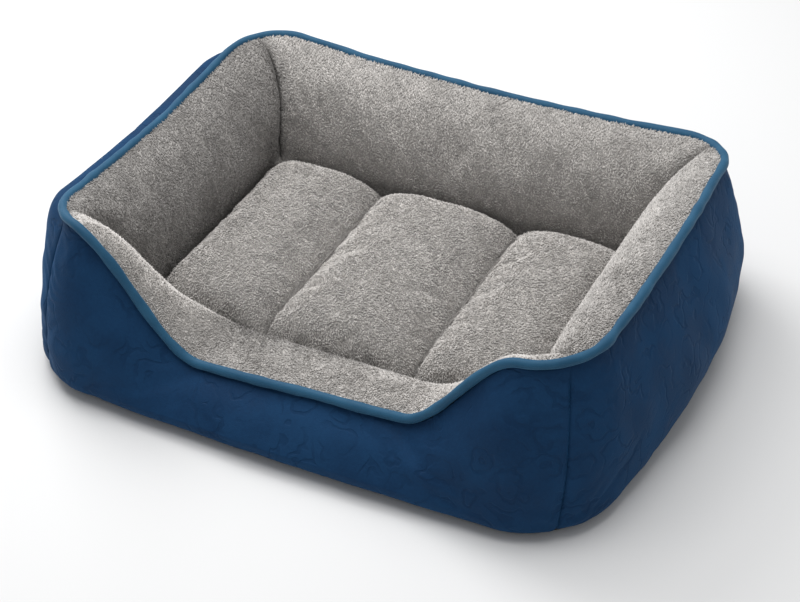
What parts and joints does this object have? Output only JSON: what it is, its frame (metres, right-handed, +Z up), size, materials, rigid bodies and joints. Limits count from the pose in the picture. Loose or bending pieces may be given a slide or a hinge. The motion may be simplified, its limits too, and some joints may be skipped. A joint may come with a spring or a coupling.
{
  "type": "pet cushion bed",
  "caption": "Rectangular pet bed with stuffed walls, plush lining, piped rim and a low front entrance, and a removable channelled seat cushion.",
  "frame": {"origin": "on the floor under the middle of the bed's bounding box", "axes": "+Z up, +X along the long side to the right when looking in over the low entrance, the entrance faces -Y"},
  "size_m": [0.634, 0.512, 0.1899],
  "materials": {
    "outer_velvet": "navy short-pile velvet with a faint embossed swirl",
    "plush": "warm grey short plush, 4 to 5 mm pile",
    "piping": "steel blue smooth bias cloth over a cord",
    "cord": "white cotton filler cord",
    "fibre": "white polyester fibre filling",
    "base_cloth": "dark woven non-slip cloth with small rubber dots",
    "floor_lining": "plain grey woven lining",
    "cushion_under": "plain navy woven cloth",
    "thread": "grey polyester sewing thread"
  },
  "bodies": {
    "bed": {"outer_panel_front": "outer_velvet", "outer_panel_right": "outer_velvet", "outer_panel_back": "outer_velvet", "outer_panel_left": "outer_velvet", "lining_front": "plush", "lining_right": "plush", "lining_back": "plush", "lining_left": "plush", "bolster_fill_front": "fibre", "bolster_fill_right": "fibre", "bolster_fill_back": "fibre", "bolster_fill_left": "fibre", "piping_cover": "piping", "piping_cord": "cord", "base_cloth": "base_cloth", "floor_lining": "floor_lining"},
    "cushion": {"cushion_top": "plush", "cushion_bottom": "cushion_under", "cushion_fill_left": "fibre", "cushion_fill_centre": "fibre", "cushion_fill_right": "fibre", "channel_stitch_left": "thread", "channel_stitch_right": "thread"}
  },
  "joints": [
    {"name": "cushion_lift", "type": "slide", "parent": "bed", "child": "cushion", "axis": [0, 0, 1], "range_m": [0, 0.25]}
  ]
}
